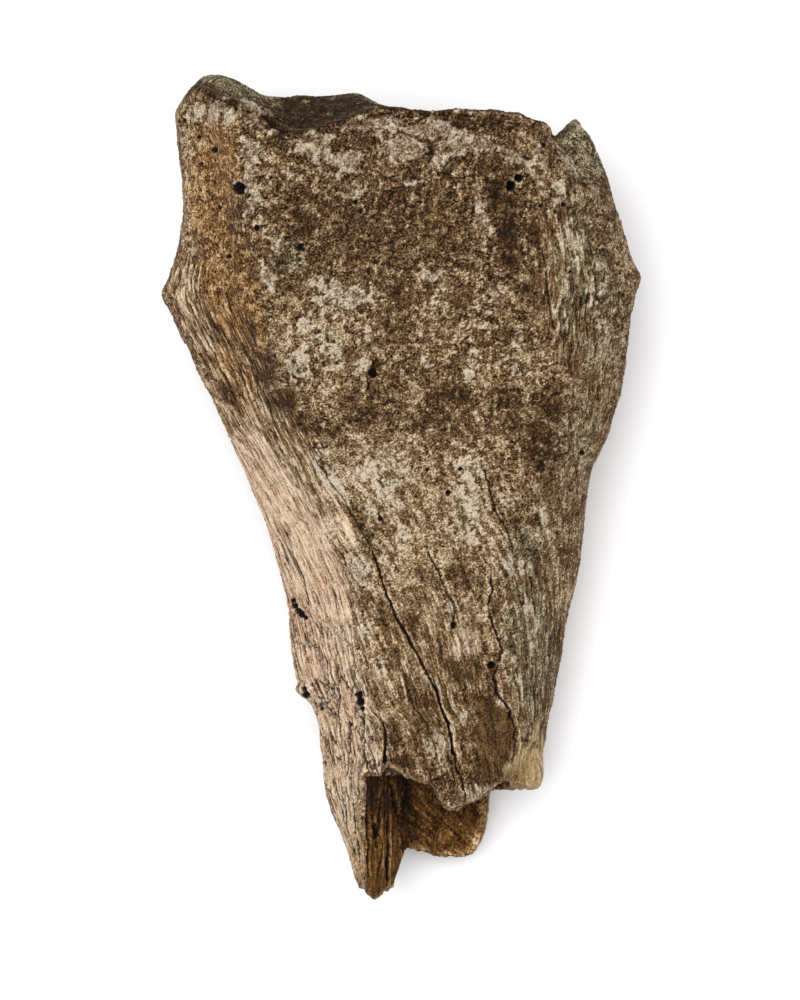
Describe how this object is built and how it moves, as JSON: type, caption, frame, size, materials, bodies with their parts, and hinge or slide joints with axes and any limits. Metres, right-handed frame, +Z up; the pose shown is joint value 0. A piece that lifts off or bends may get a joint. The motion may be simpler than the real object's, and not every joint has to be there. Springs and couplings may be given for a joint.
{
  "type": "cow shin bone fragment",
  "caption": "Weathered upper half of a young cow's shin bone, with the growth cap lost at the knee end and the shaft broken open to the marrow hollow.",
  "frame": {"origin": "under the middle of the bone's box, on the surface that it lies on", "axes": "+Y along the shaft towards the knee end, +Z up from the surface that the hind face lies on, +X across the bone"},
  "size_m": [0.0948, 0.165, 0.0549],
  "materials": {
    "weathered_bone": "matte, porous, stained brown by soil, with cream grey weathered patches"
  },
  "bodies": {
    "root": {"bone_fragment": "weathered_bone"}
  },
  "joints": []
}
